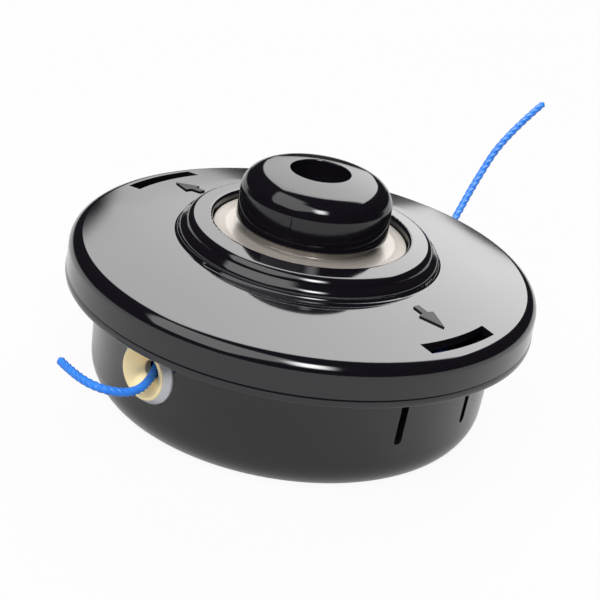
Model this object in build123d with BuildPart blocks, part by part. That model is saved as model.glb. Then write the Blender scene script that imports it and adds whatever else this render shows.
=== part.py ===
from build123d import *
import math
import os

os.makedirs("parts", exist_ok=True)

# All sizes in mm. Z is the spin axis and z = 0 is the machine-side base face.

# Cover disc
cover_radius = 65.0
skirt_low = 32.0
cover_slope = math.tan(math.radians(7.44))
cover_wall = 2.42
rim_round = 4.0
skirt_wall = 2.4
skirt_shoulder = 4.5
bead_height = 2.3
bead_crest = 0.25
bead_round = 0.4
collar_foot_radius = 36.2
collar_foot_z = 47.1
collar_foot_round = 1.0
collar_bulge_inset = 0.25
collar_bulge_rise = 1.8
collar_bulge_round = 2.0
collar_crease_inset = 2.0
collar_crease_rise = 3.25
collar_edge_inset = 2.6
collar_height = 4.95
collar_round = 2.4
collar_bore_round = 1.0
collar_core_depth = 2.8
plate_radius = 26.8
plate_gap = 0.3

# Windows, arrows and snap latches share these directions (degrees about Z)
latch_angles = (-42.6, 141.9)
window_inset = 4.7
window_depth = 4.3
window_width = 24.0
arrow_inset = 4.0
arrow_length = 10.6
arrow_neck_length = 7.2
arrow_head_length = 6.7
arrow_shaft_half = 0.95
arrow_barb_half = 2.7
arrow_height = 0.42

# Housing bowl
bowl_inset = 8.6
bowl_draft = math.tan(math.radians(2.3))
bowl_corner = 10.0
housing_wall = 2.6
floor_top = 4.0
flange_low = 34.0
flange_thick = 2.0
flange_gap = 0.3
rim_gap = 1.04
base_recess_inner_radius = 22.0
base_recess_land = 4.1
base_recess_depth = 1.4
base_rib_count = 12
base_rib_width = 2.0

# Snap tongues in the housing wall
slot_width = 2.2
slot_offset = 12.5
slot_low = 15.0
tongue_top = 38.2
hook_reach = 3.0
hook_lip = 0.8
hook_angle = 20.0
ledge_gap = 1.2
ledge_low = 32.8
ledge_top = 35.4
ledge_angle = 22.0

# Hub post, arbor nut and spring
post_radius = 13.0
post_top = 35.0
spring_seat_radius = 19.8
spring_seat_top = 8.0
shaft_hole = 6.0
nut_low = 3.0
nut_height = 12.0
nut_flats = 17.0
nut_minor_radius = 4.32
nut_gap = 0.02
washer_thick = 1.0
washer_in = 13.6
washer_out = 19.6
spring_wire = 1.8
spring_mean_radius = 16.6
spring_turns = 4.5
spring_end_gap = 0.02

# Spool
spool_gap = 4.3
spool_low = 13.4
spool_flange = 2.0
chamber_height = 10.0
divider_thick = 1.6
core_radius = 27.0
spring_room_radius = 20.5
spring_room_top = 27.0
guide_gap = 0.05
guide_top = 38.0
hub_inset = 0.2
hub_round = 1.0
winding_inset = 5.5

# Index lugs: cover and housing lugs stand half a pitch apart, spool cams in between
lug_count = 6
lug_inset = 9.5
lug_length = 8.0
lug_width = 6.5
lug_clear = 0.6
lug_root = 44.9
floor_lug_height = 3.0
cam_height = 3.0
cam_angle = 31.0

# Bearing (20 x 32 x 7) with its carrier and circlips
bearing_bore = 10.0
bearing_outer = 16.0
bearing_height = 7.0
bearing_low = 46.8
race_half = 1.3
ball_radius = 1.6
ball_count = 9
race_gap = 0.1
cage_half = 0.55
cage_height = 5.2
press_gap = 0.02
circlip_thick = 1.2
circlip_open_angle = 30.0
circlip_depth = 0.85
plate_low = 48.5
plate_thick = 2.0
plate_round = 0.4
neck_round = 0.8
cup_wall = 2.2
cup_low = 44.4
neck_top = 54.4
ring_land = 1.4
cavity_wall = 1.2

# Tap knob
knob_low = 53.3
knob_height = 15.5
knob_gap = 0.5
knob_skirt_wall = 2.3
knob_draft = 0.2
knob_wall_share = 0.58
knob_shoulder = math.radians(17)
knob_slope = math.tan(math.radians(10.5))
knob_round_share = 0.47
knob_seam_angle = -104.7
knob_seam_width = 0.3
knob_seam_depth = 0.2
knob_hole_round = 0.4
knob_low_round = 0.5
knob_head_room = 3.1
stem_wall = 1.85
stem_low = 44.0

# Eyelets
eyelet_angles = (-129.0, 51.0)
eyelet_z = 22.6
eyelet_proud = 1.4
sleeve_flange_thick = 3.0
sleeve_length = 5.9
sleeve_tube = 6.6
sleeve_bore = 5.6
sleeve_nose = 1.8
sleeve_flare = 1.45
sleeve_lip = 0.1
insert_rim = 7.5
insert_rim_thick = 0.8
insert_proud = 0.3
insert_round = 0.3
dish_radius = 6.6
dish_depth = 3.2
dish_mid_depth = 1.4
dish_belly = 0.3
line_hole = 2.6
line_mouth = 3.3
wall_gap = 0.05

# Trimmer line: bent tails as (outward, sideways, upward) from the eyelet's front
line_diameter = 2.2
front_tail = [
    (-6.6, -1.4, 0.0),
    (0.2, 3.4, -0.9),
    (8.2, 5.2, -1.4),
    (14.8, 1.4, -0.3),
    (16.8, -6.6, 0.3),
    (14.6, -15.6, 0.2),
]
rear_tail = [
    (-6.6, -1.0, 0.0),
    (15.4, 8.2, 3.3),
    (36.8, 18.2, 7.1),
    (58.5, 28.0, 12.1),
    (82.4, 36.7, 19.9),
    (109.0, 41.4, 26.2),
]

# Radii that follow the cover, from the rim inward
bowl_radius_top = cover_radius - bowl_inset
window_out = cover_radius - window_inset
window_in = window_out - window_depth
arrow_tip = window_in - arrow_inset
hook_radius = bowl_radius_top + hook_reach
ledge_radius = bowl_radius_top + ledge_gap
flange_radius = bowl_radius_top - housing_wall - spool_gap
winding_radius = flange_radius - winding_inset
lug_radius = flange_radius - lug_inset

# Collar, between its foot and the plate that it surrounds
collar_bulge_radius = collar_foot_radius - collar_bulge_inset
collar_crease_radius = collar_foot_radius - collar_crease_inset
collar_edge_radius = collar_foot_radius - collar_edge_inset
collar_top = collar_foot_z + collar_height
collar_core_top = collar_top - collar_core_depth
collar_bore = plate_radius + plate_gap
collar_land = collar_edge_radius - collar_bore
collar_lip = collar_top + collar_land * cover_slope
collar_core_in = collar_bore + 0.43 * collar_land
collar_core_out = collar_bore + 0.9 * collar_land

# Bearing radii, and the parts that hold it
ball_ring_radius = (bearing_bore + bearing_outer) / 2
race_in = ball_ring_radius - race_half
race_out = ball_ring_radius + race_half
boss_radius = bearing_bore + ring_land
neck_lip = bearing_outer - ring_land
cup_radius = bearing_outer + cup_wall
cavity_radius = cup_radius - cavity_wall
hub_radius = plate_radius - hub_inset

# Knob radii, over the neck and through the bearing
knob_bore = bearing_bore - stem_wall
knob_skirt_in = cup_radius + knob_gap
knob_low_radius = knob_skirt_in + knob_skirt_wall
knob_edge_radius = knob_low_radius - knob_draft
knob_top = knob_low + knob_height

# Eyelet radius, and its depths measured in from its front
sleeve_flange = insert_rim + sleeve_flare
eyelet_front = bowl_radius_top + eyelet_proud
eyelet_seat = eyelet_front - sleeve_flange_thick
eyelet_back = eyelet_front - sleeve_length
insert_seat = eyelet_front - insert_rim_thick
dish_mid = eyelet_front - dish_mid_depth
dish_floor = eyelet_front - dish_depth


def cover_height(radius):
    """Height of the cover's conical top face at a radius."""
    return collar_foot_z - (radius - collar_foot_radius) * cover_slope


def bowl_radius(z):
    """Outer radius of the drafted housing wall at a height."""
    return bowl_radius_top - (skirt_low - z) * bowl_draft


def radial_plane(angle):
    """Upright plane through the spin axis: local x points outward, local y up."""
    c = math.cos(math.radians(angle))
    s = math.sin(math.radians(angle))
    return Plane(origin=(0, 0, 0), x_dir=(c, s, 0), z_dir=(s, -c, 0))


def facing_plane(angle, distance):
    """Upright plane facing outward at a distance from the axis: local y points up."""
    c = math.cos(math.radians(angle))
    s = math.sin(math.radians(angle))
    return Plane(origin=(c * distance, s * distance, 0), x_dir=(-s, c, 0), z_dir=(c, s, 0))


def radial_axis(angle, z):
    """Level axis that points outward at a height."""
    c = math.cos(math.radians(angle))
    s = math.sin(math.radians(angle))
    return Axis((0, 0, z), (c, s, 0))


def tail_route(angle, tail):
    """Points of a line tail, placed from the front of the eyelet at an angle."""
    c = math.cos(math.radians(angle))
    s = math.sin(math.radians(angle))
    points = []
    for outward, sideways, upward in tail:
        reach = eyelet_front + outward
        points.append((reach * c - sideways * s, reach * s + sideways * c, eyelet_z + upward))
    return points


def corner(sketch, x, y):
    """Corner of a profile nearest to a point."""
    return sketch.vertices().sort_by_distance((x, y, 0))[0]


def bend_radii(route):
    """Bend radius at each inner point of a route, sized to the shorter run beside it."""
    radii = []
    for before, here, after in zip(route, route[1:], route[2:]):
        run_in = Vector(*here) - Vector(*before)
        run_out = Vector(*after) - Vector(*here)
        half_turn = math.radians(run_in.get_angle(run_out)) / 2
        radii.append(0.45 * min(run_in.length, run_out.length) / math.tan(half_turn))
    return radii


# Levels that follow the underside of the cover
flange_top = flange_low + flange_thick
rim_top = cover_height(bowl_radius_top) - cover_wall - rim_gap

# Spool levels, stacked from the lower flange
lower_chamber = spool_low + spool_flange
divider_low = lower_chamber + chamber_height
upper_chamber = divider_low + divider_thick
upper_flange_low = upper_chamber + chamber_height
upper_flange_top = upper_flange_low + spool_flange
lug_low = upper_flange_top + lug_clear

# Housing: drafted bowl with a nesting flange, hub post and spring seat
flange_out = cover_radius - skirt_wall - flange_gap
base_recess_outer_radius = bowl_radius(0) - bowl_corner - base_recess_land
hook_low = ledge_top
with BuildPart() as housing:
    with BuildSketch(Plane.XZ) as bowl_profile:
        with BuildLine():
            Polyline(
                (0, 0),
                (bowl_radius(0), 0),
                (bowl_radius(flange_low), flange_low),
                (flange_out, flange_low),
                (flange_out, flange_top),
                (bowl_radius(flange_top), flange_top),
                (bowl_radius(rim_top), rim_top),
                (bowl_radius(rim_top) - housing_wall, rim_top),
                (bowl_radius(floor_top) - housing_wall, floor_top),
                (spring_seat_radius, floor_top),
                (spring_seat_radius, spring_seat_top),
                (post_radius, spring_seat_top),
                (post_radius, post_top),
                (0, post_top),
                close=True,
            )
        make_face()
        fillet(corner(bowl_profile, bowl_radius(0), 0), bowl_corner)
        inner_corner = bowl_radius(floor_top) - housing_wall
        fillet(corner(bowl_profile, inner_corner, floor_top), bowl_corner - housing_wall)
    revolve(axis=Axis.Z)
    # Ribbed recess in the machine-side face
    with BuildSketch(Plane.XY):
        Circle(base_recess_outer_radius)
        Circle(base_recess_inner_radius, mode=Mode.SUBTRACT)
        rib_length = base_recess_outer_radius - base_recess_inner_radius + base_rib_width
        with PolarLocations((base_recess_inner_radius + base_recess_outer_radius) / 2, base_rib_count):
            Rectangle(rib_length, base_rib_width, mode=Mode.SUBTRACT)
    extrude(amount=base_recess_depth, mode=Mode.SUBTRACT)
    # Shaft hole and the hexagon pocket that takes the arbor nut from inside
    with BuildSketch(Plane.XY):
        Circle(shaft_hole)
    extrude(amount=nut_low, mode=Mode.SUBTRACT)
    with BuildSketch(Plane.XY.offset(nut_low)):
        RegularPolygon(nut_flats / 2 + nut_gap, 6, major_radius=False)
    extrude(amount=post_top - nut_low, mode=Mode.SUBTRACT)
    # Index lugs on the floor
    with BuildSketch(Plane.XY.offset(floor_top - 1)):
        with PolarLocations(lug_radius, lug_count, start_angle=180 / lug_count):
            Rectangle(lug_length, lug_width)
    extrude(amount=floor_lug_height + 1)
    # Flexible tongues: two slots each, flange and rim cut back, hook on top
    for angle in latch_angles:
        slot_top = rim_top + slot_width
        with BuildSketch(facing_plane(angle, core_radius)):
            with Locations((slot_offset, (slot_low + slot_top) / 2), (-slot_offset, (slot_low + slot_top) / 2)):
                SlotOverall(slot_top - slot_low, slot_width, rotation=90)
        extrude(amount=cover_radius - core_radius, mode=Mode.SUBTRACT)
        with BuildSketch(Plane.XY.offset(flange_low)):
            with Locations(Location((0, 0, 0), (0, 0, angle))):
                with Locations((cover_radius, 0)):
                    Rectangle(cover_radius / 2, 2 * slot_offset)
            Circle(bowl_radius_top, mode=Mode.SUBTRACT)
        extrude(amount=flange_top - flange_low, mode=Mode.SUBTRACT)
        with BuildSketch(Plane.XY.offset(tongue_top)):
            with Locations(Location((0, 0, 0), (0, 0, angle))):
                with Locations((cover_radius, 0)):
                    Rectangle(cover_radius / 2, 2 * slot_offset)
        extrude(amount=rim_top, mode=Mode.SUBTRACT)
        with BuildSketch(radial_plane(angle - hook_angle / 2)):
            with BuildLine():
                Polyline(
                    (bowl_radius(hook_low) - housing_wall / 2, hook_low - 1),
                    (bowl_radius(hook_low), hook_low - 1),
                    (bowl_radius(hook_low), hook_low),
                    (hook_radius, hook_low),
                    (hook_radius, hook_low + hook_lip),
                    (bowl_radius(tongue_top), tongue_top),
                    (bowl_radius(hook_low) - housing_wall / 2, tongue_top),
                    close=True,
                )
            make_face()
        revolve(axis=Axis.Z, revolution_arc=hook_angle)
    # Flat seats and holes for the eyelets
    for angle in eyelet_angles:
        with BuildSketch(facing_plane(angle, eyelet_seat)):
            with Locations((0, eyelet_z)):
                Circle(sleeve_flange + wall_gap)
        extrude(amount=cover_radius - eyelet_seat, mode=Mode.SUBTRACT)
        with BuildSketch(facing_plane(angle, core_radius)):
            with Locations((0, eyelet_z)):
                Circle(sleeve_tube + wall_gap)
        extrude(amount=cover_radius - core_radius, mode=Mode.SUBTRACT)

# Raised direction arrows, cut to follow the cone of the cover
with BuildPart() as arrows:
    for angle in latch_angles:
        with BuildSketch(Plane.XY.offset(skirt_low)):
            with Locations(Location((0, 0, 0), (0, 0, angle))):
                Polygon(
                    (arrow_tip - arrow_length, -arrow_shaft_half),
                    (arrow_tip - arrow_neck_length, -arrow_shaft_half),
                    (arrow_tip - arrow_head_length, -arrow_barb_half),
                    (arrow_tip, 0),
                    (arrow_tip - arrow_head_length, arrow_barb_half),
                    (arrow_tip - arrow_neck_length, arrow_shaft_half),
                    (arrow_tip - arrow_length, arrow_shaft_half),
                    align=None,
                )
        extrude(amount=knob_top - skirt_low)
    with BuildSketch(Plane.XZ):
        with BuildLine():
            Polyline(
                (collar_foot_radius, cover_height(collar_foot_radius) - arrow_height),
                (window_in, cover_height(window_in) - arrow_height),
                (window_in, cover_height(window_in) + arrow_height),
                (collar_foot_radius, cover_height(collar_foot_radius) + arrow_height),
                close=True,
            )
        make_face()
    revolve(axis=Axis.Z, mode=Mode.INTERSECT)

# Cover: skirted cone with a beaded edge and a collar of two rounded steps
shoulder_radius = cover_radius - skirt_shoulder
skirt_in = cover_radius - skirt_wall
bead_top = skirt_low + bead_height
bulge_top = collar_foot_z + collar_bulge_rise
crease_z = collar_foot_z + collar_crease_rise
collar_under = collar_foot_z - cover_wall
with BuildPart() as cover:
    with BuildSketch(Plane.XZ) as cover_profile:
        with BuildLine():
            ThreePointArc(
                (cover_radius, skirt_low),
                (cover_radius + bead_crest, (skirt_low + bead_top) / 2),
                (cover_radius, bead_top),
            )
            Polyline(
                (cover_radius, bead_top),
                (cover_radius, cover_height(cover_radius)),
                (collar_foot_radius, collar_foot_z),
                (collar_bulge_radius, bulge_top),
                (collar_crease_radius, crease_z),
                (collar_edge_radius, collar_top),
                (collar_bore, collar_lip),
                (collar_bore, collar_under),
                (collar_core_in, collar_under),
                (collar_core_in, collar_core_top),
                (collar_core_out, collar_core_top),
                (collar_core_out, collar_under),
                (collar_foot_radius, collar_under),
                (shoulder_radius, cover_height(shoulder_radius) - cover_wall),
                (shoulder_radius, flange_top),
                (skirt_in, flange_top),
                (skirt_in, skirt_low),
                (cover_radius, skirt_low),
            )
        make_face()
        fillet(corner(cover_profile, cover_radius, cover_height(cover_radius)), rim_round)
        fillet(corner(cover_profile, cover_radius, skirt_low), bead_round)
        fillet(corner(cover_profile, collar_foot_radius, collar_foot_z), collar_foot_round)
        fillet(corner(cover_profile, collar_bulge_radius, bulge_top), collar_bulge_round)
        fillet(corner(cover_profile, collar_edge_radius, collar_top), collar_round)
        fillet(corner(cover_profile, collar_bore, collar_lip), collar_bore_round)
    revolve(axis=Axis.Z)
    # Index lugs under the cover
    with BuildSketch(Plane.XY.offset(lug_low)):
        with PolarLocations(lug_radius, lug_count):
            Rectangle(lug_length, lug_width)
    extrude(amount=lug_root - lug_low)
    for angle in latch_angles:
        with BuildSketch(Plane.XY.offset(rim_top)):
            Circle(window_out)
            Circle(window_in, mode=Mode.SUBTRACT)
            with Locations(Location((0, 0, 0), (0, 0, angle))):
                with Locations((window_out, 0)):
                    Rectangle(window_out, window_width, mode=Mode.INTERSECT)
        extrude(amount=knob_top - rim_top, mode=Mode.SUBTRACT)
        # Ledge that the tongue's hook holds down
        with BuildSketch(radial_plane(angle - ledge_angle / 2)):
            with BuildLine():
                Polyline(
                    (ledge_radius, ledge_low),
                    (skirt_in + skirt_wall / 3, ledge_low),
                    (skirt_in + skirt_wall / 3, ledge_top),
                    (ledge_radius, ledge_top),
                    close=True,
                )
            make_face()
        revolve(axis=Axis.Z, revolution_arc=ledge_angle)
    add(arrows.part)

# Arbor nut: hexagon steel insert, thread left plain
with BuildPart() as arbor_nut:
    with BuildSketch(Plane.XY.offset(nut_low)):
        RegularPolygon(nut_flats / 2, 6, major_radius=False)
        Circle(nut_minor_radius, mode=Mode.SUBTRACT)
    extrude(amount=nut_height)

# Spring washer and coil spring
spring_foot = spring_seat_top + washer_thick
with BuildPart() as spring_washer:
    with BuildSketch(Plane.XY.offset(spring_seat_top)):
        Circle(washer_out)
        Circle(washer_in, mode=Mode.SUBTRACT)
    extrude(amount=washer_thick)

spring_rise = spring_room_top - spring_foot - spring_wire - 2 * spring_end_gap
spring_start = spring_foot + spring_wire / 2 + spring_end_gap
with BuildPart() as spring:
    with BuildLine() as coil:
        Helix(
            pitch=spring_rise / spring_turns,
            height=spring_rise,
            radius=spring_mean_radius,
            center=(0, 0, spring_start),
        )
    with BuildSketch(Plane(origin=coil.line @ 0, z_dir=coil.line % 0)):
        Circle(spring_wire / 2)
    sweep(path=coil.line, is_frenet=True)

# Spool with two line chambers and cams on both faces
with BuildPart() as spool:
    with BuildSketch(Plane.XZ) as spool_profile:
        with BuildLine():
            Polyline(
                (spring_room_radius, spool_low),
                (flange_radius, spool_low),
                (flange_radius, lower_chamber),
                (core_radius, lower_chamber),
                (core_radius, divider_low),
                (flange_radius, divider_low),
                (flange_radius, upper_chamber),
                (core_radius, upper_chamber),
                (core_radius, upper_flange_low),
                (flange_radius, upper_flange_low),
                (flange_radius, upper_flange_top),
                (hub_radius, upper_flange_top),
                (hub_radius, plate_low),
                (cup_radius + press_gap, plate_low),
                (cup_radius + press_gap, cup_low),
                (cavity_radius, cup_low),
                (cavity_radius, guide_top),
                (post_radius + guide_gap, guide_top),
                (post_radius + guide_gap, spring_room_top),
                (spring_room_radius, spring_room_top),
                close=True,
            )
        make_face()
        fillet(corner(spool_profile, hub_radius, upper_flange_top), hub_round)
    revolve(axis=Axis.Z)
    with BuildSketch(Plane.XY.offset(upper_flange_low)):
        with PolarLocations(lug_radius, lug_count, start_angle=cam_angle):
            Rectangle(lug_length, lug_width)
    extrude(amount=spool_flange + cam_height)
    with BuildSketch(Plane.XY.offset(spool_low - cam_height)):
        with PolarLocations(lug_radius, lug_count, start_angle=cam_angle):
            Rectangle(lug_length, lug_width)
    extrude(amount=spool_flange + cam_height)

# Wound line, one pack in each chamber
with BuildPart() as line_winding_lower:
    with BuildSketch(Plane.XY.offset(lower_chamber)):
        Circle(winding_radius)
        Circle(core_radius, mode=Mode.SUBTRACT)
    extrude(amount=chamber_height)

with BuildPart() as line_winding_upper:
    with BuildSketch(Plane.XY.offset(upper_chamber)):
        Circle(winding_radius)
        Circle(core_radius, mode=Mode.SUBTRACT)
    extrude(amount=chamber_height)

# Bearing carrier: flat plate with a cup whose neck rises under the knob
plate_top = plate_low + plate_thick
bearing_top = bearing_low + bearing_height
groove_low = bearing_low - circlip_thick
seat_radius = bearing_outer + press_gap
with BuildPart() as bearing_carrier:
    with BuildSketch(Plane.XZ) as carrier_profile:
        with BuildLine():
            Polyline(
                (seat_radius, cup_low),
                (cup_radius, cup_low),
                (cup_radius, plate_low),
                (plate_radius, plate_low),
                (plate_radius, plate_top),
                (cup_radius, plate_top),
                (cup_radius, neck_top),
                (neck_lip, neck_top),
                (neck_lip, bearing_top),
                (seat_radius, bearing_top),
                (seat_radius, bearing_low),
                (seat_radius + circlip_depth, bearing_low),
                (seat_radius + circlip_depth, groove_low),
                (seat_radius, groove_low),
                close=True,
            )
        make_face()
        fillet(corner(carrier_profile, cup_radius, neck_top), plate_round)
        fillet(corner(carrier_profile, cup_radius, plate_top), neck_round)
        fillet(corner(carrier_profile, plate_radius, plate_top), plate_round)
    revolve(axis=Axis.Z)

# Ball bearing
race_mid = bearing_low + bearing_height / 2
with BuildPart() as bearing_outer_ring:
    with BuildSketch(Plane.XZ):
        with Locations(((race_out + bearing_outer) / 2, race_mid)):
            Rectangle(bearing_outer - race_out, bearing_height)
        with Locations((ball_ring_radius, race_mid)):
            Circle(ball_radius + race_gap, mode=Mode.SUBTRACT)
    revolve(axis=Axis.Z)

with BuildPart() as bearing_inner_ring:
    with BuildSketch(Plane.XZ):
        with Locations(((race_in + bearing_bore) / 2, race_mid)):
            Rectangle(race_in - bearing_bore, bearing_height)
        with Locations((ball_ring_radius, race_mid)):
            Circle(ball_radius + race_gap, mode=Mode.SUBTRACT)
    revolve(axis=Axis.Z)

with BuildPart() as bearing_balls:
    with Locations((0, 0, race_mid)):
        with PolarLocations(ball_ring_radius, ball_count):
            Sphere(ball_radius)

with BuildPart() as bearing_cage:
    with BuildSketch(Plane.XY.offset(race_mid - cage_height / 2)):
        Circle(ball_ring_radius + cage_half)
        Circle(ball_ring_radius - cage_half, mode=Mode.SUBTRACT)
    extrude(amount=cage_height)
    with Locations((0, 0, race_mid)):
        with PolarLocations(ball_ring_radius, ball_count):
            Cylinder(ball_radius + race_gap, 4 * cage_half, rotation=(0, 90, 0), mode=Mode.SUBTRACT)

# Circlips, split rings
with BuildPart() as carrier_circlip:
    with BuildSketch(radial_plane(circlip_open_angle / 2)):
        with BuildLine():
            Polyline(
                (neck_lip, groove_low),
                (seat_radius + circlip_depth, groove_low),
                (seat_radius + circlip_depth, bearing_low),
                (neck_lip, bearing_low),
                close=True,
            )
        make_face()
    revolve(axis=Axis.Z, revolution_arc=360 - circlip_open_angle)

stem_radius = bearing_bore - press_gap
stem_groove = stem_radius - circlip_depth
with BuildPart() as stem_circlip:
    with BuildSketch(radial_plane(circlip_open_angle / 2)):
        with BuildLine():
            Polyline(
                (stem_groove, groove_low),
                (boss_radius, groove_low),
                (boss_radius, bearing_low),
                (stem_groove, bearing_low),
                close=True,
            )
        make_face()
    revolve(axis=Axis.Z, revolution_arc=360 - circlip_open_angle)

# Tap knob: dome on a straight skirt, with a tubular stem through the bearing
knob_edge_z = knob_low + knob_wall_share * knob_height
knob_rise = knob_top - (knob_edge_radius - knob_bore) * knob_slope - knob_edge_z
knob_shoulder_run = knob_rise / (math.cos(knob_shoulder) - knob_slope * math.sin(knob_shoulder))
knob_crown_radius = knob_edge_radius - knob_shoulder_run * math.sin(knob_shoulder)
knob_crown_z = knob_edge_z + knob_shoulder_run * math.cos(knob_shoulder)
knob_round = knob_round_share * knob_height
knob_roof = neck_top + knob_head_room
with BuildPart() as knob:
    with BuildSketch(Plane.XZ) as knob_profile:
        with BuildLine():
            Polyline(
                (knob_bore, stem_low),
                (stem_radius, stem_low),
                (stem_radius, groove_low),
                (stem_groove, groove_low),
                (stem_groove, bearing_low),
                (stem_radius, bearing_low),
                (stem_radius, bearing_top),
                (boss_radius, bearing_top),
                (boss_radius, knob_roof),
                (knob_skirt_in, knob_roof),
                (knob_skirt_in, knob_low),
                (knob_low_radius, knob_low),
                (knob_edge_radius, knob_edge_z),
                (knob_crown_radius, knob_crown_z),
                (knob_bore, knob_top),
                close=True,
            )
        make_face()
        fillet(corner(knob_profile, knob_crown_radius, knob_crown_z), knob_round)
        fillet(corner(knob_profile, knob_bore, knob_top), knob_hole_round)
        fillet(corner(knob_profile, knob_low_radius, knob_low), knob_low_round)
    revolve(axis=Axis.Z)
    # Fine witness grooves where the mould halves met
    for angle in (knob_seam_angle, knob_seam_angle + 180):
        with BuildSketch(facing_plane(angle, knob_edge_radius - knob_seam_depth)):
            with Locations((0, (knob_low + knob_edge_z) / 2)):
                Rectangle(knob_seam_width, knob_edge_z - knob_low)
        extrude(amount=knob_draft + 2 * knob_seam_depth, mode=Mode.SUBTRACT)

# Eyelets: a steel sleeve with a conical nose and a brass insert each side
sleeves = {}
inserts = {}
for name, angle in zip(("front", "rear"), eyelet_angles):
    with BuildPart() as sleeve:
        with BuildSketch(radial_plane(angle)):
            with BuildLine():
                Polyline(
                    (eyelet_back, eyelet_z + sleeve_bore),
                    (eyelet_back, eyelet_z + sleeve_tube),
                    (eyelet_seat, eyelet_z + sleeve_tube),
                    (eyelet_seat, eyelet_z + sleeve_flange),
                    (eyelet_front - sleeve_nose, eyelet_z + sleeve_flange),
                    (eyelet_front, eyelet_z + insert_rim + sleeve_lip),
                    (eyelet_front, eyelet_z + insert_rim),
                    (insert_seat, eyelet_z + insert_rim),
                    (insert_seat, eyelet_z + sleeve_bore),
                    close=True,
                )
            make_face()
        revolve(axis=radial_axis(angle, eyelet_z))
    sleeves[name] = sleeve
    with BuildPart() as insert:
        insert_front = eyelet_front + insert_proud
        with BuildSketch(radial_plane(angle)) as insert_profile:
            with BuildLine():
                Polyline(
                    (dish_floor, eyelet_z + line_hole),
                    (eyelet_back + line_mouth - line_hole, eyelet_z + line_hole),
                    (eyelet_back, eyelet_z + line_mouth),
                    (eyelet_back, eyelet_z + sleeve_bore - press_gap),
                    (insert_seat, eyelet_z + sleeve_bore - press_gap),
                    (insert_seat, eyelet_z + insert_rim - press_gap),
                    (insert_front, eyelet_z + insert_rim - press_gap),
                    (insert_front, eyelet_z + dish_radius),
                )
                ThreePointArc(
                    (insert_front, eyelet_z + dish_radius),
                    (dish_mid, eyelet_z + (dish_radius + line_hole) / 2 - dish_belly),
                    (dish_floor, eyelet_z + line_hole),
                )
            make_face()
            fillet(corner(insert_profile, insert_front, eyelet_z + insert_rim - press_gap), insert_round)
        revolve(axis=radial_axis(angle, eyelet_z))
    inserts[name] = insert

# Trimmer line tails
tails = {}
for name, angle, tail_shape in zip(("front", "rear"), eyelet_angles, (front_tail, rear_tail)):
    route = tail_route(angle, tail_shape)
    with BuildPart() as tail:
        with BuildLine() as path:
            FilletPolyline(*route, radius=bend_radii(route))
        centreline = path.wires()[0]
        with BuildSketch(Plane(origin=centreline @ 0, z_dir=centreline % 0)):
            Circle(line_diameter / 2)
        sweep(path=centreline)
    tails[name] = tail
    section = math.pi * line_diameter ** 2 / 4
    print(name, "tail length", round(centreline.length, 2))
    print(name, "tail bends", [round(radius, 1) for radius in bend_radii(route)])
    print(name, "tail volume ratio", round(tail.part.volume / (section * centreline.length), 4))

pieces = {
    "housing": housing,
    "cover": cover,
    "arbor_nut": arbor_nut,
    "spring_washer": spring_washer,
    "spring": spring,
    "spool": spool,
    "line_winding_lower": line_winding_lower,
    "line_winding_upper": line_winding_upper,
    "bearing_carrier": bearing_carrier,
    "bearing_outer_ring": bearing_outer_ring,
    "bearing_inner_ring": bearing_inner_ring,
    "bearing_balls": bearing_balls,
    "bearing_cage": bearing_cage,
    "carrier_circlip": carrier_circlip,
    "stem_circlip": stem_circlip,
    "knob": knob,
    "eyelet_sleeve_front": sleeves["front"],
    "eyelet_sleeve_rear": sleeves["rear"],
    "eyelet_insert_front": inserts["front"],
    "eyelet_insert_rear": inserts["rear"],
    "line_tail_front": tails["front"],
    "line_tail_rear": tails["rear"],
}
for name, piece in pieces.items():
    piece.part.label = name
    export_step(piece.part, "parts/" + name + ".step")
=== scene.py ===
"""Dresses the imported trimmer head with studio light, finishes and its blue line tails."""

import logging
import math
from dataclasses import dataclass, field
from enum import Enum

import bmesh
import bpy
from mathutils import Matrix, Vector


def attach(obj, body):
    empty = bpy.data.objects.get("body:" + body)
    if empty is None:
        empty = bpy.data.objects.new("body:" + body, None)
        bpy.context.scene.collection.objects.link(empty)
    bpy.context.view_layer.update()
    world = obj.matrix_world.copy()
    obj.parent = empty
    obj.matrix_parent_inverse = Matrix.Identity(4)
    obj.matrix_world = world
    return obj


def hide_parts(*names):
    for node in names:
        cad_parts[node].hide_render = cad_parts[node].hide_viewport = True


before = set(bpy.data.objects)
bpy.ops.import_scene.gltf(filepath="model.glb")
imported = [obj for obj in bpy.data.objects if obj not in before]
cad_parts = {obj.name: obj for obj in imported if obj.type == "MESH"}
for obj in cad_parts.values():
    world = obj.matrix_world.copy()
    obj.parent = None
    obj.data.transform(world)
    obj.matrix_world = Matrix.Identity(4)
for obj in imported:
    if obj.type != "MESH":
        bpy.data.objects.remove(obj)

LOG = logging.getLogger("trimmer_head")
MM = 0.001
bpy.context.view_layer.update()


class Body(Enum):
    """Bodies of the frame that the scene's own pieces ride on."""

    HEAD = "head"


class Slot(Enum):
    """Material slots of the record."""

    BLACK = "black_plastic"
    KNOB = "knob_plastic"
    SPOOL = "spool_plastic"
    PLATE = "satin_plate"
    STEEL = "plain_steel"
    SPRING = "spring_steel"
    BEARING = "bearing_steel"
    SLEEVE = "sleeve_steel"
    BRASS = "eyelet_brass"
    LINE = "line_nylon"


def node_object(name: str) -> bpy.types.Object:
    """Finds the CAD object of a node.

    Args:
        name: Name of the node.

    Returns:
        The node's object.
    """
    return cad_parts[name]


def polar(radius: float, angle: float, z: float) -> Vector:
    """Point at a radius and an angle about the spin axis.

    Args:
        radius: Distance from the axis in metres.
        angle: Angle about Z in degrees.
        z: Height in metres.

    Returns:
        The point in the row frame.
    """
    a = math.radians(angle)
    return Vector((radius * math.cos(a), radius * math.sin(a), z))


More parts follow.
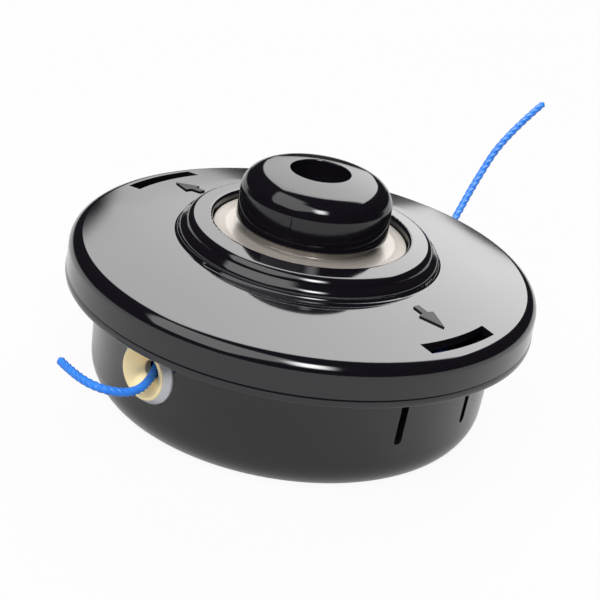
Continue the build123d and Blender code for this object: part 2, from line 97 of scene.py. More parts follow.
class Graph:
    """Small builder for a node tree."""

    def __init__(self, tree: bpy.types.NodeTree) -> None:
        """Empties the tree and keeps it."""
        self.tree = tree
        tree.nodes.clear()

    def add(self, kind: str, **values: object) -> bpy.types.Node:
        """Adds a node.

        Args:
            kind: Blender's node type.
            **values: Node properties.

        Returns:
            The new node.
        """
        made = self.tree.nodes.new(kind)
        for key, value in values.items():
            setattr(made, key, value)
        return made

    def link(self, source: bpy.types.NodeSocket, target: bpy.types.NodeSocket) -> None:
        """Joins two sockets.

        Args:
            source: Output socket.
            target: Input socket.
        """
        self.tree.links.new(source, target)

    def split(self, vector: bpy.types.NodeSocket) -> dict[str, bpy.types.NodeSocket]:
        """Takes a vector apart.

        Args:
            vector: Vector socket.

        Returns:
            The value sockets by axis: X, Y and Z.
        """
        made = self.add("ShaderNodeSeparateXYZ")
        self.link(vector, made.inputs["Vector"])
        return {axis: made.outputs[axis] for axis in "XYZ"}

    def reach(self, coords: bpy.types.NodeSocket) -> bpy.types.NodeSocket:
        """Measures the distance from the spin axis.

        Args:
            coords: Object coordinates.

        Returns:
            Socket with the radius in metres.
        """
        flat = self.add("ShaderNodeVectorMath", operation="MULTIPLY")
        self.link(coords, flat.inputs[0])
        flat.inputs[1].default_value = (1.0, 1.0, 0.0)
        made = self.add("ShaderNodeVectorMath", operation="LENGTH")
        self.link(flat.outputs["Vector"], made.inputs[0])
        return made.outputs["Value"]

    def noise(self, coords: bpy.types.NodeSocket, scale: float, detail: float = 3.0) -> bpy.types.Node:
        """Adds a noise texture on the given coordinates.

        Args:
            coords: Vector socket that the texture reads.
            scale: Features per metre.
            detail: Octaves of finer noise.

        Returns:
            The noise node.
        """
        made = self.add("ShaderNodeTexNoise")
        made.inputs["Scale"].default_value = scale
        made.inputs["Detail"].default_value = detail
        self.link(coords, made.inputs["Vector"])
        return made

    def span(self, source: bpy.types.NodeSocket, low: float, high: float,
             new_low: float, new_high: float) -> bpy.types.NodeSocket:
        """Maps a value from one range to another.

        Args:
            source: Value socket to map.
            low: Value that becomes new_low.
            high: Value that becomes new_high.
            new_low: Result at low.
            new_high: Result at high.

        Returns:
            Socket with the mapped value.
        """
        made = self.add("ShaderNodeMapRange")
        self.link(source, made.inputs["Value"])
        for index, value in enumerate((low, high, new_low, new_high), start=1):
            made.inputs[index].default_value = value
        return made.outputs["Result"]

    def math(self, operation: str, first: bpy.types.NodeSocket,
             second: bpy.types.NodeSocket | float) -> bpy.types.NodeSocket:
        """Adds one sum on two values.

        Args:
            operation: Blender's name of the sum.
            first: First value.
            second: Second value, a socket or a plain number.

        Returns:
            Socket with the result.
        """
        made = self.add("ShaderNodeMath", operation=operation)
        self.link(first, made.inputs[0])
        if isinstance(second, (int, float)):
            made.inputs[1].default_value = second
        else:
            self.link(second, made.inputs[1])
        return made.outputs["Value"]

    def dot(self, direction: bpy.types.NodeSocket, axis: Vector) -> bpy.types.NodeSocket:
        """Adds the dot product of a direction and a fixed axis.

        Args:
            direction: Vector socket.
            axis: Axis to measure along.

        Returns:
            Socket with the length along the axis.
        """
        made = self.add("ShaderNodeVectorMath", operation="DOT_PRODUCT")
        self.link(direction, made.inputs[0])
        made.inputs[1].default_value = axis
        return made.outputs["Value"]

    def soft(self, source: bpy.types.NodeSocket, low: float, high: float) -> bpy.types.NodeSocket:
        """Adds a smooth step from 0 at low to 1 at high.

        Args:
            source: Value socket.
            low: Value where the step starts.
            high: Value where the step ends, on either side of low.

        Returns:
            Socket with the step.
        """
        step = self.span(source, low, high, 0.0, 1.0)
        step.node.interpolation_type = "SMOOTHSTEP"
        return step

    def blend(self, factor: bpy.types.NodeSocket, first: tuple[float, float, float],
              second: tuple[float, float, float]) -> bpy.types.NodeSocket:
        """Mixes two plain colours.

        Args:
            factor: Share of the second colour.
            first: Linear colour at 0.
            second: Linear colour at 1.

        Returns:
            Socket with the mixed colour.
        """
        made = self.add("ShaderNodeMix", data_type="RGBA")
        self.link(factor, made.inputs["Factor"])
        made.inputs["A"].default_value = (*first, 1.0)
        made.inputs["B"].default_value = (*second, 1.0)
        return made.outputs["Result"]

    def bump(self, height: bpy.types.NodeSocket, strength: float, distance: float,
             normal: bpy.types.NodeSocket | None = None) -> bpy.types.NodeSocket:
        """Adds a bump from a height.

        Args:
            height: Height socket.
            strength: Share of the full effect.
            distance: Depth in metres.
            normal: Normal that the bump starts from, or the mesh's own.

        Returns:
            Normal socket.
        """
        made = self.add("ShaderNodeBump")
        made.inputs["Strength"].default_value = strength
        made.inputs["Distance"].default_value = distance
        self.link(height, made.inputs["Height"])
        if normal is not None:
            self.link(normal, made.inputs["Normal"])
        return made.outputs["Normal"]

    def inside(self, source: bpy.types.NodeSocket, low: float, high: float) -> bpy.types.NodeSocket:
        """Adds a test that gives 1 between two values and 0 elsewhere.

        Args:
            source: Value socket.
            low: Lower limit.
            high: Upper limit.

        Returns:
            Socket with the test's result.
        """
        above = self.math("GREATER_THAN", source, low)
        below = self.math("LESS_THAN", source, high)
        return self.math("MULTIPLY", above, below)


def new_material(name: str) -> tuple[bpy.types.Material, Graph, bpy.types.Node]:
    """Starts a material with one principled shader.

    Args:
        name: Material name.

    Returns:
        The material, its graph and the shader node.
    """
    material = bpy.data.materials.new(name)
    material.use_nodes = True
    graph = Graph(material.node_tree)
    shader = graph.add("ShaderNodeBsdfPrincipled")
    output = graph.add("ShaderNodeOutputMaterial")
    graph.link(shader.outputs["BSDF"], output.inputs["Surface"])
    return material, graph, shader


@dataclass(frozen=True)
class TurnedRound:
    """Round of a turned outline, laid over the mesh as its shading normal.

    Sizes are in millimetres and degrees: the centre of the round, the range of its
    normal's rise, and the box of radii and heights that it covers. The fit is the
    least agreement with the mesh, so that cut walls keep their own normal.
    """

    radius: float
    z: float
    low: float
    high: float
    radii: tuple[float, float]
    heights: tuple[float, float]
    fit: float = 0.95

    def apply(self, graph: Graph, base: bpy.types.NodeSocket) -> bpy.types.NodeSocket:
        """Lays the round's normal over another one inside the box.

        Args:
            graph: Material graph.
            base: Normal that stays outside the box and where the surface is cut.

        Returns:
            The joined normal.
        """
        coords = graph.add("ShaderNodeTexCoord").outputs["Object"]
        place = graph.split(coords)
        radius = graph.reach(coords)
        rise = graph.math("ARCTAN2", graph.math("SUBTRACT", place["Z"], self.z * MM),
                          graph.math("SUBTRACT", radius, self.radius * MM))
        rise = graph.math("MAXIMUM", rise, math.radians(self.low))
        rise = graph.math("MINIMUM", rise, math.radians(self.high))
        outward = graph.math("DIVIDE", graph.math("COSINE", rise, 0.0), radius)
        true = graph.add("ShaderNodeCombineXYZ")
        for axis in "XY":
            graph.link(graph.math("MULTIPLY", place[axis], outward), true.inputs[axis])
        graph.link(graph.math("SINE", rise, 0.0), true.inputs["Z"])
        turned = graph.add("ShaderNodeVectorTransform", vector_type="NORMAL", convert_from="OBJECT",
                           convert_to="WORLD")
        graph.link(true.outputs["Vector"], turned.inputs["Vector"])
        match = graph.add("ShaderNodeVectorMath", operation="DOT_PRODUCT")
        graph.link(turned.outputs["Vector"], match.inputs[0])
        graph.link(graph.add("ShaderNodeNewGeometry").outputs["Normal"], match.inputs[1])
        share = graph.math("GREATER_THAN", match.outputs["Value"], self.fit)
        share = graph.math("MULTIPLY", share, graph.inside(radius, self.radii[0] * MM, self.radii[1] * MM))
        share = graph.math("MULTIPLY", share,
                           graph.inside(place["Z"], self.heights[0] * MM, self.heights[1] * MM))
        joined = graph.add("ShaderNodeMix", data_type="VECTOR")
        graph.link(share, joined.inputs["Factor"])
        graph.link(base, joined.inputs[4])
        graph.link(turned.outputs["Vector"], joined.inputs[5])
        return joined.outputs[1]


@dataclass(frozen=True)
class RaisedMarks:
    """Duller tops of the marks that stand on the cover's cone, in millimetres."""

    radius: float = 36.2
    z: float = 47.1
    slope: float = 0.13059
    lift: float = 0.2
    radii: tuple[float, float] = (39.0, 57.0)
    roughness: float = 0.42

    def share(self, graph: Graph, coords: bpy.types.NodeSocket) -> bpy.types.NodeSocket:
        """Finds the tops of the marks.

        Args:
            graph: Material graph.
            coords: Object coordinates.

        Returns:
            Socket that is 1 on the tops and 0 elsewhere.
        """
        radius = graph.reach(coords)
        level = graph.math("ADD", graph.split(coords)["Z"], graph.math("MULTIPLY", radius, self.slope))
        raised = graph.math("GREATER_THAN", level, (self.z + self.radius * self.slope + self.lift) * MM)
        return graph.math("MULTIPLY", raised, graph.inside(radius, self.radii[0] * MM, self.radii[1] * MM))


@dataclass(frozen=True)
class MouldedPlastic:
    """Gloss injection-moulded plastic with faint flow marks and rubbed edges."""

    name: str
    colour: tuple[float, float, float]
    rubbed: tuple[float, float, float]
    roughness: float
    polish: float = 0.4
    swing: float = 0.03
    ior: float = 1.5
    polish_roughness: float = 0.03
    flow_scale: float = 45.0
    speck_scale: float = 2600.0
    speck_strength: float = 0.12
    grain: float = 0.00001
    edge_points: tuple[float, float] = (0.52, 0.6)
    rounds: tuple[TurnedRound, ...] = ()
    marks: RaisedMarks | None = None

    def build(self) -> bpy.types.Material:
        """Returns the finished material."""
        material, graph, shader = new_material(self.name)
        coords = graph.add("ShaderNodeTexCoord").outputs["Object"]
        flow = graph.noise(coords, self.flow_scale, 4.0)
        speck = graph.noise(coords, self.speck_scale, 2.0)
        surface = graph.add("ShaderNodeNewGeometry")
        edges = graph.span(surface.outputs["Pointiness"], *self.edge_points, 0.0, 1.0)
        graph.link(graph.blend(edges, self.colour, self.rubbed), shader.inputs["Base Color"])
        roughness = graph.span(flow.outputs["Fac"], 0.3, 0.7, self.roughness - self.swing,
                               self.roughness + self.swing)
        shader.inputs["Coat Weight"].default_value = self.polish
        if self.marks:
            dull = self.marks.share(graph, coords)
            roughness = graph.math("ADD", roughness, graph.math("MULTIPLY", dull, self.marks.roughness))
            graph.link(graph.span(dull, 0.0, 1.0, self.polish, 0.0), shader.inputs["Coat Weight"])
        graph.link(roughness, shader.inputs["Roughness"])
        normal = surface.outputs["Normal"]
        for turned in self.rounds:
            normal = turned.apply(graph, normal)
        normal = graph.bump(speck.outputs["Fac"], self.speck_strength, self.grain, normal)
        graph.link(normal, shader.inputs["Normal"])
        if self.rounds:
            graph.link(normal, shader.inputs["Coat Normal"])
        shader.inputs["IOR"].default_value = self.ior
        shader.inputs["Coat Roughness"].default_value = self.polish_roughness
        return material


@dataclass(frozen=True)
class TurnedMetal:
    """Metal turned on a lathe: fine rings about the spin axis."""

    name: str
    colour: tuple[float, float, float]
    dark: tuple[float, float, float]
    roughness: float
    swing: float = 0.05
    pitch: float = 0.00035
    depth: float = 0.00001
    ring_strength: float = 0.5
    cloud_scale: float = 160.0
    brushed: float = 0.6
    brush_turn: float = 0.25
    neck: float = 0.0232
    neck_edge: float = 0.0006
    neck_roughness: float = 0.3
    metallic: float = 0.15
    neck_metallic: float = 0.4
    specular: float = 0.2

    def build(self) -> bpy.types.Material:
        """Returns the finished material."""
        material, graph, shader = new_material(self.name)
        coords = graph.add("ShaderNodeTexCoord").outputs["Object"]
        radius = graph.reach(coords)
        rings = graph.add("ShaderNodeTexNoise", noise_dimensions="1D")
        graph.link(radius, rings.inputs["W"])
        rings.inputs["Scale"].default_value = 1.0 / self.pitch
        rings.inputs["Detail"].default_value = 3.0
        cloud = graph.noise(coords, self.cloud_scale, 4.0)
        graph.link(graph.blend(graph.span(cloud.outputs["Fac"], 0.35, 0.75, 0.0, 0.6), self.colour, self.dark),
                   shader.inputs["Base Color"])
        rough = graph.span(rings.outputs["Fac"], 0.3, 0.7, self.roughness - self.swing, self.roughness + self.swing)
        worn = graph.soft(radius, self.neck + self.neck_edge, self.neck)
        rough = graph.math("SUBTRACT", rough, graph.math("MULTIPLY", worn, self.roughness - self.neck_roughness))
        graph.link(rough, shader.inputs["Roughness"])
        graph.link(graph.bump(rings.outputs["Fac"], self.ring_strength, self.depth), shader.inputs["Normal"])
        graph.link(graph.add("ShaderNodeTangent", direction_type="RADIAL", axis="Z").outputs["Tangent"],
                   shader.inputs["Tangent"])
        shader.inputs["Anisotropic"].default_value = self.brushed
        shader.inputs["Anisotropic Rotation"].default_value = self.brush_turn
        shader.inputs["Specular IOR Level"].default_value = self.specular
        graph.link(graph.span(worn, 0.0, 1.0, self.metallic, self.neck_metallic), shader.inputs["Metallic"])
        return material


@dataclass(frozen=True)
class PlainMetal:
    """Small metal pieces: cloudy tone and fine scuffs."""

    name: str
    colour: tuple[float, float, float]
    dark: tuple[float, float, float]
    roughness: float
    swing: float = 0.06
    scale: float = 260.0
    scuff_scale: float = 3120.0
    scuff_strength: float = 0.15
    scuff_depth: float = 0.00001
    metallic: float = 1.0

    def build(self) -> bpy.types.Material:
        """Returns the finished material."""
        material, graph, shader = new_material(self.name)
        coords = graph.add("ShaderNodeTexCoord").outputs["Object"]
        cloud = graph.noise(coords, self.scale, 5.0)
        scuff = graph.noise(coords, self.scuff_scale, 2.0)
        graph.link(graph.blend(graph.span(cloud.outputs["Fac"], 0.35, 0.75, 0.0, 0.7), self.colour, self.dark),
                   shader.inputs["Base Color"])
        graph.link(graph.span(cloud.outputs["Fac"], 0.3, 0.7, self.roughness - self.swing,
                              self.roughness + self.swing), shader.inputs["Roughness"])
        graph.link(graph.bump(scuff.outputs["Fac"], self.scuff_strength, self.scuff_depth),
                   shader.inputs["Normal"])
        shader.inputs["Metallic"].default_value = self.metallic
        return material


@dataclass(frozen=True)
class NylonLine:
    """Coloured nylon with a cloudy tone and a fine drawn skin."""

    name: str
    colour: tuple[float, float, float]
    pale: tuple[float, float, float]
    roughness: float
    smoother: float = 0.05
    rougher: float = 0.08
    tone_scale: float = 220.0
    skin_scale: float = 5200.0
    skin_strength: float = 0.04
    skin_depth: float = 0.00001
    ior: float = 1.53
    specular: float = 0.25

    def build(self) -> bpy.types.Material:
        """Returns the finished material."""
        material, graph, shader = new_material(self.name)
        coords = graph.add("ShaderNodeTexCoord").outputs["Object"]
        tone = graph.noise(coords, self.tone_scale, 1.0)
        skin = graph.noise(coords, self.skin_scale, 2.0)
        graph.link(graph.blend(graph.span(tone.outputs["Fac"], 0.35, 0.7, 0.0, 1.0), self.colour, self.pale),
                   shader.inputs["Base Color"])
        graph.link(graph.span(tone.outputs["Fac"], 0.3, 0.7, self.roughness - self.smoother,
                              self.roughness + self.rougher), shader.inputs["Roughness"])
        graph.link(graph.bump(skin.outputs["Fac"], self.skin_strength, self.skin_depth), shader.inputs["Normal"])
        shader.inputs["IOR"].default_value = self.ior
        shader.inputs["Specular IOR Level"].default_value = self.specular
        return material


COVER_ROUNDS = (
    TurnedRound(radius=61.0, z=39.83, low=0.0, high=82.56, radii=(37.2, 66.0), heights=(34.6, 50.0)),
    TurnedRound(radius=0.0, z=-337.2, low=80.0, high=86.0, radii=(37.1, 50.0), heights=(44.0, 48.0)),
    TurnedRound(radius=62.48, z=33.15, low=-24.5, high=24.5, radii=(64.7, 65.4), heights=(32.4, 34.3)),
    TurnedRound(radius=31.83, z=49.86, low=19.4, high=82.56, radii=(28.6, 34.3), heights=(50.4, 53.0)),
    TurnedRound(radius=34.08, z=47.86, low=7.9, high=50.36, radii=(34.2, 36.6), heights=(48.0, 50.3)),
)
KNOB_ROUNDS = (
    TurnedRound(radius=0.0, z=-17.2, low=75.0, high=88.0, radii=(5.8, 15.3), heights=(64.0, 70.0)),
    TurnedRound(radius=16.27, z=62.23, low=22.0, high=52.0, radii=(18.26, 20.53), heights=(63.08, 66.09)),
)
FINISHES: dict[Slot, MouldedPlastic | TurnedMetal | PlainMetal | NylonLine] = {
    Slot.BLACK: MouldedPlastic("gloss_black_nylon", (0.0045, 0.0037, 0.0058), (0.008, 0.007, 0.009), 0.08,
                               rounds=COVER_ROUNDS, marks=RaisedMarks()),
    Slot.KNOB: MouldedPlastic("knob_black_nylon", (0.0045, 0.0037, 0.0058), (0.008, 0.007, 0.009), 0.07,
                              polish=0.05, rounds=KNOB_ROUNDS),
    Slot.SPOOL: MouldedPlastic("spool_black_nylon", (0.01, 0.01, 0.011), (0.02, 0.02, 0.021), 0.4, polish=0.0),
    Slot.PLATE: TurnedMetal("satin_turned_plate", (0.42, 0.385, 0.35), (0.38, 0.345, 0.31), 0.5),
    Slot.STEEL: PlainMetal("zinc_plated_steel", (0.62, 0.62, 0.62), (0.5, 0.49, 0.47), 0.3),
    Slot.SPRING: PlainMetal("oiled_spring_steel", (0.3, 0.3, 0.31), (0.2, 0.2, 0.2), 0.34),
    Slot.BEARING: PlainMetal("polished_bearing_steel", (0.8, 0.8, 0.81), (0.74, 0.74, 0.74), 0.12),
    Slot.SLEEVE: PlainMetal("turned_sleeve_steel", (0.6, 0.61, 0.65), (0.53, 0.54, 0.57), 0.36, metallic=0.5),
    Slot.BRASS: PlainMetal("turned_eyelet_brass", (0.95, 0.8, 0.48), (0.9, 0.72, 0.4), 0.45, metallic=0.6),
    Slot.LINE: NylonLine("blue_line_nylon", (0.025, 0.17, 0.64), (0.03, 0.2, 0.7), 0.32),
}


class Paintbox:
    """Makes each finish once and hands it out."""

    def __init__(self) -> None:
        """Starts empty."""
        self.made: dict[Slot, bpy.types.Material] = {}

    def get(self, slot: Slot) -> bpy.types.Material:
        """Gives the material of a slot, built on first use.

        Args:
            slot: Finish that is asked for.

        Returns:
            The slot's material.
        """
        if slot not in self.made:
            self.made[slot] = FINISHES[slot].build()
        return self.made[slot]

    def dress(self, target: bpy.types.Object, slot: Slot) -> None:
        """Gives an object one finish.

        Args:
            target: Mesh object to dress.
            slot: Finish to use.
        """
        target.data.materials.clear()
        target.data.materials.append(self.get(slot))


@dataclass
class LineTail:
    """Free end of the trimmer line: twisted square nylon that keeps its own bend."""

    name: str
    node: str
    angle: float
    shape: list[tuple[float, float, float]]
    mouth: tuple[float, float, float]
    length: float
    steps: int
    eyelet_front: float = 57.8
    eyelet_z: float = 22.6
    diameter: float = 2.2 * MM
    pitch: float = 7.0 * MM
    ridge: float = 0.1 * MM
    lobes: int = 4
    sides: int = 48
    end_share: float = 0.86
    path: list[Vector] = field(default_factory=list)

    def route(self) -> list[Vector]:
        """Returns the route's points, from steps outward, sideways and upward at the eyelet."""
        points = []
        for outward, sideways, upward in self.shape:
            ahead = polar(self.eyelet_front + outward, self.angle, self.eyelet_z + upward)
            points.append((ahead + polar(sideways, self.angle + 90.0, 0.0)) * MM)
        return points

    def trace(self) -> None:
        """Reads the smooth line of the route."""
        curve = bpy.data.curves.new(self.name + "_route", "CURVE")
        curve.dimensions = "3D"
        curve.resolution_u = self.steps
        spline = curve.splines.new("NURBS")
        spline.points.add(len(self.shape) - 1)
        for point, place in zip(spline.points, self.route()):
            point.co = (*place, 1.0)
        spline.order_u = 3
        spline.use_endpoint_u = True
        holder = bpy.data.objects.new(self.name + "_route", curve)
        bpy.context.scene.collection.objects.link(holder)
        bpy.context.view_layer.update()
        traced = bpy.data.meshes.new_from_object(holder)
        self.path = [vertex.co.copy() for vertex in traced.vertices]
        bpy.data.objects.remove(holder)
        bpy.data.curves.remove(curve)
        bpy.data.meshes.remove(traced)

    def ring(self, mesh: bmesh.types.BMesh, index: int, across: Vector, along: Vector,
             run: float, share: float) -> list[bmesh.types.BMVert]:
        """Adds one ring of the twisted section.

        Args:
            mesh: Mesh under construction.
            index: Path point that carries the ring.
            across: Unit vector square to the path.
            along: Unit vector along the path.
            run: Length of line up to this ring, which sets the twist.
            share: Size of the ring against the full section.

        Returns:
            The ring's vertices in order.
        """
        side = along.cross(across)
        twist = 2.0 * math.pi * run / self.pitch
        ring = []
        for step in range(self.sides):
            angle = 2.0 * math.pi * step / self.sides
            lift = math.cos(self.lobes * (angle - twist))
            radius = (self.diameter / 2 + self.ridge * lift) * share
            offset = across * (radius * math.cos(angle)) + side * (radius * math.sin(angle))
            ring.append(mesh.verts.new(self.path[index] + offset))
        return ring

    def build(self, paint: Paintbox) -> bpy.types.Object:
        """Args:
            paint: Source of the line's finish.

        Returns:
            The tail's object.
        """
        self.trace()
        mesh = bmesh.new()
        along = (self.path[1] - self.path[0]).normalized()
        across = along.orthogonal().normalized()
        run = 0.0
        rings = []
        last = len(self.path) - 1
        for index, place in enumerate(self.path):
            ahead = self.path[min(index + 1, last)] - self.path[max(index - 1, 0)]
            across = along.rotation_difference(ahead.normalized()) @ across
            along = ahead.normalized()
            across = (across - along * across.dot(along)).normalized()
            if index:
                run += (place - self.path[index - 1]).length
            share = self.end_share if index in (0, last) else 1.0
            rings.append(self.ring(mesh, index, across, along, run, share))
        for first, second in zip(rings, rings[1:]):
            for step in range(self.sides):
                following = (step + 1) % self.sides
                mesh.faces.new((first[step], first[following], second[following], second[step]))
        mesh.faces.new(list(reversed(rings[0])))
        mesh.faces.new(rings[-1])
        data = bpy.data.meshes.new(self.name)
        mesh.to_mesh(data)
        mesh.free()
        data.polygons.foreach_set("use_smooth", [len(face.vertices) == 4 for face in data.polygons])
        tail = bpy.data.objects.new(self.name, data)
        bpy.context.scene.collection.objects.link(tail)
        paint.dress(tail, Slot.LINE)
        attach(tail, Body.HEAD.value)
        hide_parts(self.node)
        LOG.info("%s: %d rings, %.1f mm", self.name, len(rings), run / MM)
        return tail


class LineTails:
    """Both line ends, front and rear."""

    front = LineTail(
        name="line_tail_front_twisted",
        node="line_tail_front",
        angle=-129.0,
        shape=[(-6.6, -1.4, 0.0), (0.2, 3.4, -0.9), (8.2, 5.2, -1.4),
               (14.8, 1.4, -0.3), (16.8, -6.6, 0.3), (14.6, -15.6, 0.2)],
        mouth=(-35.0, -45.0, 22.2),
        length=40.8,
        steps=44,
    )
    rear = LineTail(
        name="line_tail_rear_twisted",
        node="line_tail_rear",
        angle=51.0,
        shape=[(-6.6, -1.0, 0.0), (15.4, 8.2, 3.3), (36.8, 18.2, 7.1),
               (58.5, 28.0, 12.1), (82.4, 36.7, 19.9), (109.0, 41.4, 26.2)],
        mouth=(35.0, 46.0, 23.6),
        length=126.6,
        steps=110,
        pitch=15.0 * MM,
    )

    def build(self, paint: Paintbox) -> None:
        """Builds both tails.

        Args:
            paint: Source of the line's finish.
        """
        self.front.build(paint)
        self.rear.build(paint)


class CadPieces:
    """CAD nodes that keep their own shape and get a finish."""

    slots: dict[str, Slot] = {
        "housing": Slot.BLACK,
        "cover": Slot.BLACK,
        "knob": Slot.KNOB,
        "arbor_nut": Slot.STEEL,
        "spring_washer": Slot.STEEL,
        "spring": Slot.SPRING,
        "spool": Slot.SPOOL,
        "line_winding_lower": Slot.LINE,
        "line_winding_upper": Slot.LINE,
        "bearing_carrier": Slot.PLATE,
        "bearing_outer_ring": Slot.BEARING,
        "bearing_inner_ring": Slot.BEARING,
        "bearing_balls": Slot.BEARING,
        "bearing_cage": Slot.STEEL,
        "carrier_circlip": Slot.SPRING,
        "stem_circlip": Slot.SPRING,
        "eyelet_sleeve_front": Slot.SLEEVE,
        "eyelet_sleeve_rear": Slot.SLEEVE,
        "eyelet_insert_front": Slot.BRASS,
        "eyelet_insert_rear": Slot.BRASS,
    }

    def dress(self, paint: Paintbox) -> None:
        """Dresses every kept node.

        Args:
            paint: Source of the finishes.
        """
        for name, slot in self.slots.items():
            paint.dress(node_object(name), slot)
            LOG.info("%s: %s", name, slot.value)


@dataclass(frozen=True)
class CeilingPanel:
    """Large soft light above and behind the head, as a rectangle at unit height."""

    left: float = -0.305
    skew: float = 0.116
    right: float = 0.735
    front: float = 0.57
    back: float = 7.2
    edge: float = 0.02
    front_edge: float = 0.12
    back_edge: float = 0.4
    lowest: float = 0.02
    level: float = 4.3
    fade: float = -0.52
    lean: float = 0.36
    lean_reach: float = 2.0

    def light(self, graph: Graph, direction: bpy.types.NodeSocket) -> bpy.types.NodeSocket:
        """Brightness of the panel in each direction.

        Args:
            graph: World graph.
            direction: Unit vector socket.

        Returns:
            Value socket.
        """
        parts = graph.split(direction)
        height = graph.math("MAXIMUM", parts["Z"], self.lowest)
        across = graph.math("DIVIDE", parts["X"], height)
        depth = graph.math("DIVIDE", parts["Y"], height)
        level = graph.math("POWER", graph.math("MAXIMUM", depth, self.front), self.fade)
        level = graph.math("MULTIPLY", level, self.level)
        tilt = self.lean * self.lean_reach
        lean = graph.span(across, -self.lean_reach, self.lean_reach, 1.0 - tilt, 1.0 + tilt)
        level = graph.math("MULTIPLY", level, lean)
        edges = (
            graph.soft(graph.math("ADD", across, graph.math("MULTIPLY", depth, self.skew)),
                       self.left - self.edge, self.left + self.edge),
            graph.soft(across, self.right + self.edge, self.right - self.edge),
            graph.soft(depth, self.front - self.front_edge, self.front + self.front_edge),
            graph.soft(depth, self.back + self.back_edge, self.back - self.back_edge),
        )
        for edge in edges:
            level = graph.math("MULTIPLY", level, edge)
        return level


@dataclass(frozen=True)
class OverheadBox:
    """Dimmer light over the front left, as a turned rectangle at unit height."""

    turn: float = -53.13
    along: tuple[float, float] = (-0.58, 0.9)
    beside: tuple[float, float] = (0.2, 2.1)
    level: float = 2.2
    near_edge: float = 0.05
    far_edge: float = 0.15
    lowest: float = 0.02

    def light(self, graph: Graph, direction: bpy.types.NodeSocket) -> bpy.types.NodeSocket:
        """Brightness of the box in each direction.

        Args:
            graph: World graph.
            direction: Unit vector socket.

        Returns:
            Value socket.
        """
        height = graph.math("MAXIMUM", graph.split(direction)["Z"], self.lowest)
        sides = []
        for angle, (low, high) in ((self.turn, self.along), (self.turn - 90.0, self.beside)):
            place = graph.math("DIVIDE", graph.dot(direction, polar(1.0, angle, 0.0)), height)
            sides.append(graph.soft(place, low - self.near_edge, low + self.near_edge))
            sides.append(graph.soft(place, high + self.far_edge, high - self.far_edge))
        level = graph.math("MULTIPLY", sides[0], self.level)
        for side in sides[1:]:
            level = graph.math("MULTIPLY", level, side)
        return level


@dataclass(frozen=True)
class SoftBox:
    """Smaller light seen from the head as a rectangle around one direction."""

    azimuth: float
    elevation: float
    half_width: float
    half_height: float
    level: float
    edge: float
    facing: tuple[float, float] = (0.2, 0.3)
    least_ahead: float = 0.05

    def light(self, graph: Graph, direction: bpy.types.NodeSocket) -> bpy.types.NodeSocket:
        """Brightness of the box in each direction.

        Args:
            graph: World graph.
            direction: Unit vector socket.

        Returns:
            Value socket.
        """
        rise = math.radians(self.elevation)
        centre = polar(math.cos(rise), self.azimuth, math.sin(rise))
        side = Vector((0.0, 0.0, 1.0)).cross(centre).normalized()
        ahead = graph.dot(direction, centre)
        reach = graph.math("MAXIMUM", ahead, self.least_ahead)
        level = graph.math("MULTIPLY", graph.soft(ahead, *self.facing), self.level)
        for axis, half in ((side, self.half_width), (centre.cross(side), self.half_height)):
            offset = graph.math("ABSOLUTE", graph.math("DIVIDE", graph.dot(direction, axis), reach), 0.0)
            level = graph.math("MULTIPLY", level, graph.soft(offset, half + self.edge, half - self.edge))
        return level


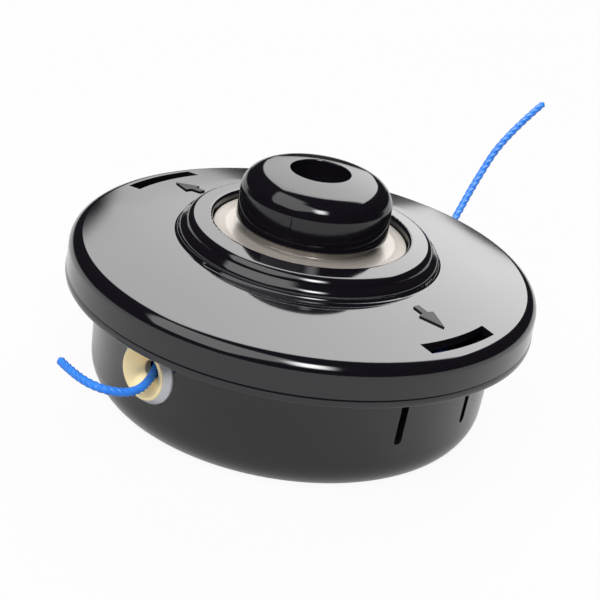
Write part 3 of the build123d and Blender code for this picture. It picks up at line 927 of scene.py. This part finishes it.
@dataclass
class Studio:
    """Camera, white surroundings and soft lights."""

    eye: tuple[float, float, float] = (0.39, -459.31, 241.72)
    right: tuple[float, float, float] = (0.98535, 0.07146, 0.15488)
    up: tuple[float, float, float] = (-0.17057, 0.41279, 0.89472)
    lens: float = 108.9
    sensor: float = 36.0
    clip: tuple[float, float] = (0.01, 50.0)
    floor_half: float = 6.0
    floor_colour: float = 0.5
    floor_glow: float = 0.94
    floor_shine: float = 0.25
    horizon: float = 0.5
    backdrop: float = 0.1
    gloom: float = 0.02
    horizon_top: float = 0.045
    horizon_edge: float = 0.03
    front_half: tuple[float, float] = (0.3, -0.1)
    panel: CeilingPanel = CeilingPanel()
    boxes: tuple[OverheadBox | SoftBox, ...] = (
        OverheadBox(),
        SoftBox(azimuth=-77.0, elevation=48.0, half_width=0.115, half_height=0.22, level=17.0, edge=0.1),
    )
    fill_place: tuple[float, float, float] = (-0.5, -1.4, 1.7)
    fill_size: float = 2.0
    fill_power: float = 24.0

    def camera(self) -> None:
        """Places the camera at the photograph's viewpoint."""
        data = bpy.data.cameras.new("camera")
        data.lens = self.lens
        data.sensor_width = self.sensor
        data.clip_start, data.clip_end = self.clip
        shot = bpy.data.objects.new("camera", data)
        right = Vector(self.right).normalized()
        up = Vector(self.up)
        up = (up - right * up.dot(right)).normalized()
        turn = Matrix((right, up, right.cross(up))).transposed()
        shot.matrix_world = Matrix.Translation(Vector(self.eye) * MM) @ turn.to_4x4()
        bpy.context.scene.collection.objects.link(shot)
        bpy.context.scene.camera = shot

    def world(self) -> None:
        """Makes the white background, the dim room and its lights."""
        room = bpy.data.worlds.new("white_room")
        room.use_nodes = True
        bpy.context.scene.world = room
        graph = Graph(room.node_tree)
        direction = graph.add("ShaderNodeTexCoord").outputs["Generated"]
        parts = graph.split(direction)
        low = graph.soft(parts["Z"], self.horizon_top + self.horizon_edge, self.horizon_top - self.horizon_edge)
        front = graph.soft(parts["Y"], *self.front_half)
        level = graph.math("MULTIPLY", low, graph.span(front, 0.0, 1.0, self.backdrop, self.horizon))
        level = graph.math("ADD", level, self.gloom)
        for lamp in (self.panel, *self.boxes):
            level = graph.math("ADD", level, lamp.light(graph, direction))
        lit = graph.add("ShaderNodeBackground")
        graph.link(level, lit.inputs["Strength"])
        lit.inputs["Color"].default_value = (1.0, 1.0, 1.0, 1.0)
        white = graph.add("ShaderNodeBackground")
        white.inputs["Color"].default_value = (1.0, 1.0, 1.0, 1.0)
        ray = graph.add("ShaderNodeLightPath")
        choice = graph.add("ShaderNodeMixShader")
        graph.link(ray.outputs["Is Camera Ray"], choice.inputs["Fac"])
        graph.link(lit.outputs["Background"], choice.inputs[1])
        graph.link(white.outputs["Background"], choice.inputs[2])
        output = graph.add("ShaderNodeOutputWorld")
        graph.link(choice.outputs["Shader"], output.inputs["Surface"])

    def floor(self) -> None:
        """Lays the white floor under the head."""
        data = bpy.data.meshes.new("floor")
        h = self.floor_half
        data.from_pydata([(-h, -h, 0.0), (h, -h, 0.0), (h, h, 0.0), (-h, h, 0.0)], [], [(0, 1, 2, 3)])
        ground = bpy.data.objects.new("floor", data)
        bpy.context.scene.collection.objects.link(ground)
        material = bpy.data.materials.new("white_floor")
        material.use_nodes = True
        graph = Graph(material.node_tree)
        matt = graph.add("ShaderNodeBsdfDiffuse")
        matt.inputs["Color"].default_value = (self.floor_colour, self.floor_colour, self.floor_colour, 1.0)
        glow = graph.add("ShaderNodeEmission")
        glow.inputs["Color"].default_value = (1.0, 1.0, 1.0, 1.0)
        ray = graph.add("ShaderNodeLightPath")
        share = graph.math("ADD", graph.math("MULTIPLY", ray.outputs["Is Camera Ray"], self.floor_glow),
                           graph.math("MULTIPLY", ray.outputs["Is Glossy Ray"], self.floor_shine))
        choice = graph.add("ShaderNodeMixShader")
        graph.link(share, choice.inputs["Fac"])
        graph.link(matt.outputs["BSDF"], choice.inputs[1])
        graph.link(glow.outputs["Emission"], choice.inputs[2])
        output = graph.add("ShaderNodeOutputMaterial")
        graph.link(choice.outputs["Shader"], output.inputs["Surface"])
        data.materials.append(material)

    def fill(self) -> None:
        """Hangs a broad front fill that gives plain colours their written level."""
        data = bpy.data.lights.new("fill", "AREA")
        data.energy = self.fill_power
        data.size = self.fill_size
        lamp = bpy.data.objects.new("fill", data)
        lamp.location = self.fill_place
        lamp.rotation_euler = (-Vector(self.fill_place)).to_track_quat("-Z", "Y").to_euler()
        lamp.visible_glossy = False
        bpy.context.scene.collection.objects.link(lamp)

    def build(self) -> None:
        """Sets up the whole studio."""
        self.camera()
        self.world()
        self.fill()
        self.floor()
        bpy.context.scene.view_settings.view_transform = "Standard"
        LOG.info("studio ready")


def main() -> None:
    """Builds the studio, the line tails and every finish."""
    logging.basicConfig(level=logging.INFO, format="%(name)s: %(message)s")
    paint = Paintbox()
    Studio().build()
    LineTails().build(paint)
    CadPieces().dress(paint)


if __name__ == "__main__":
    main()
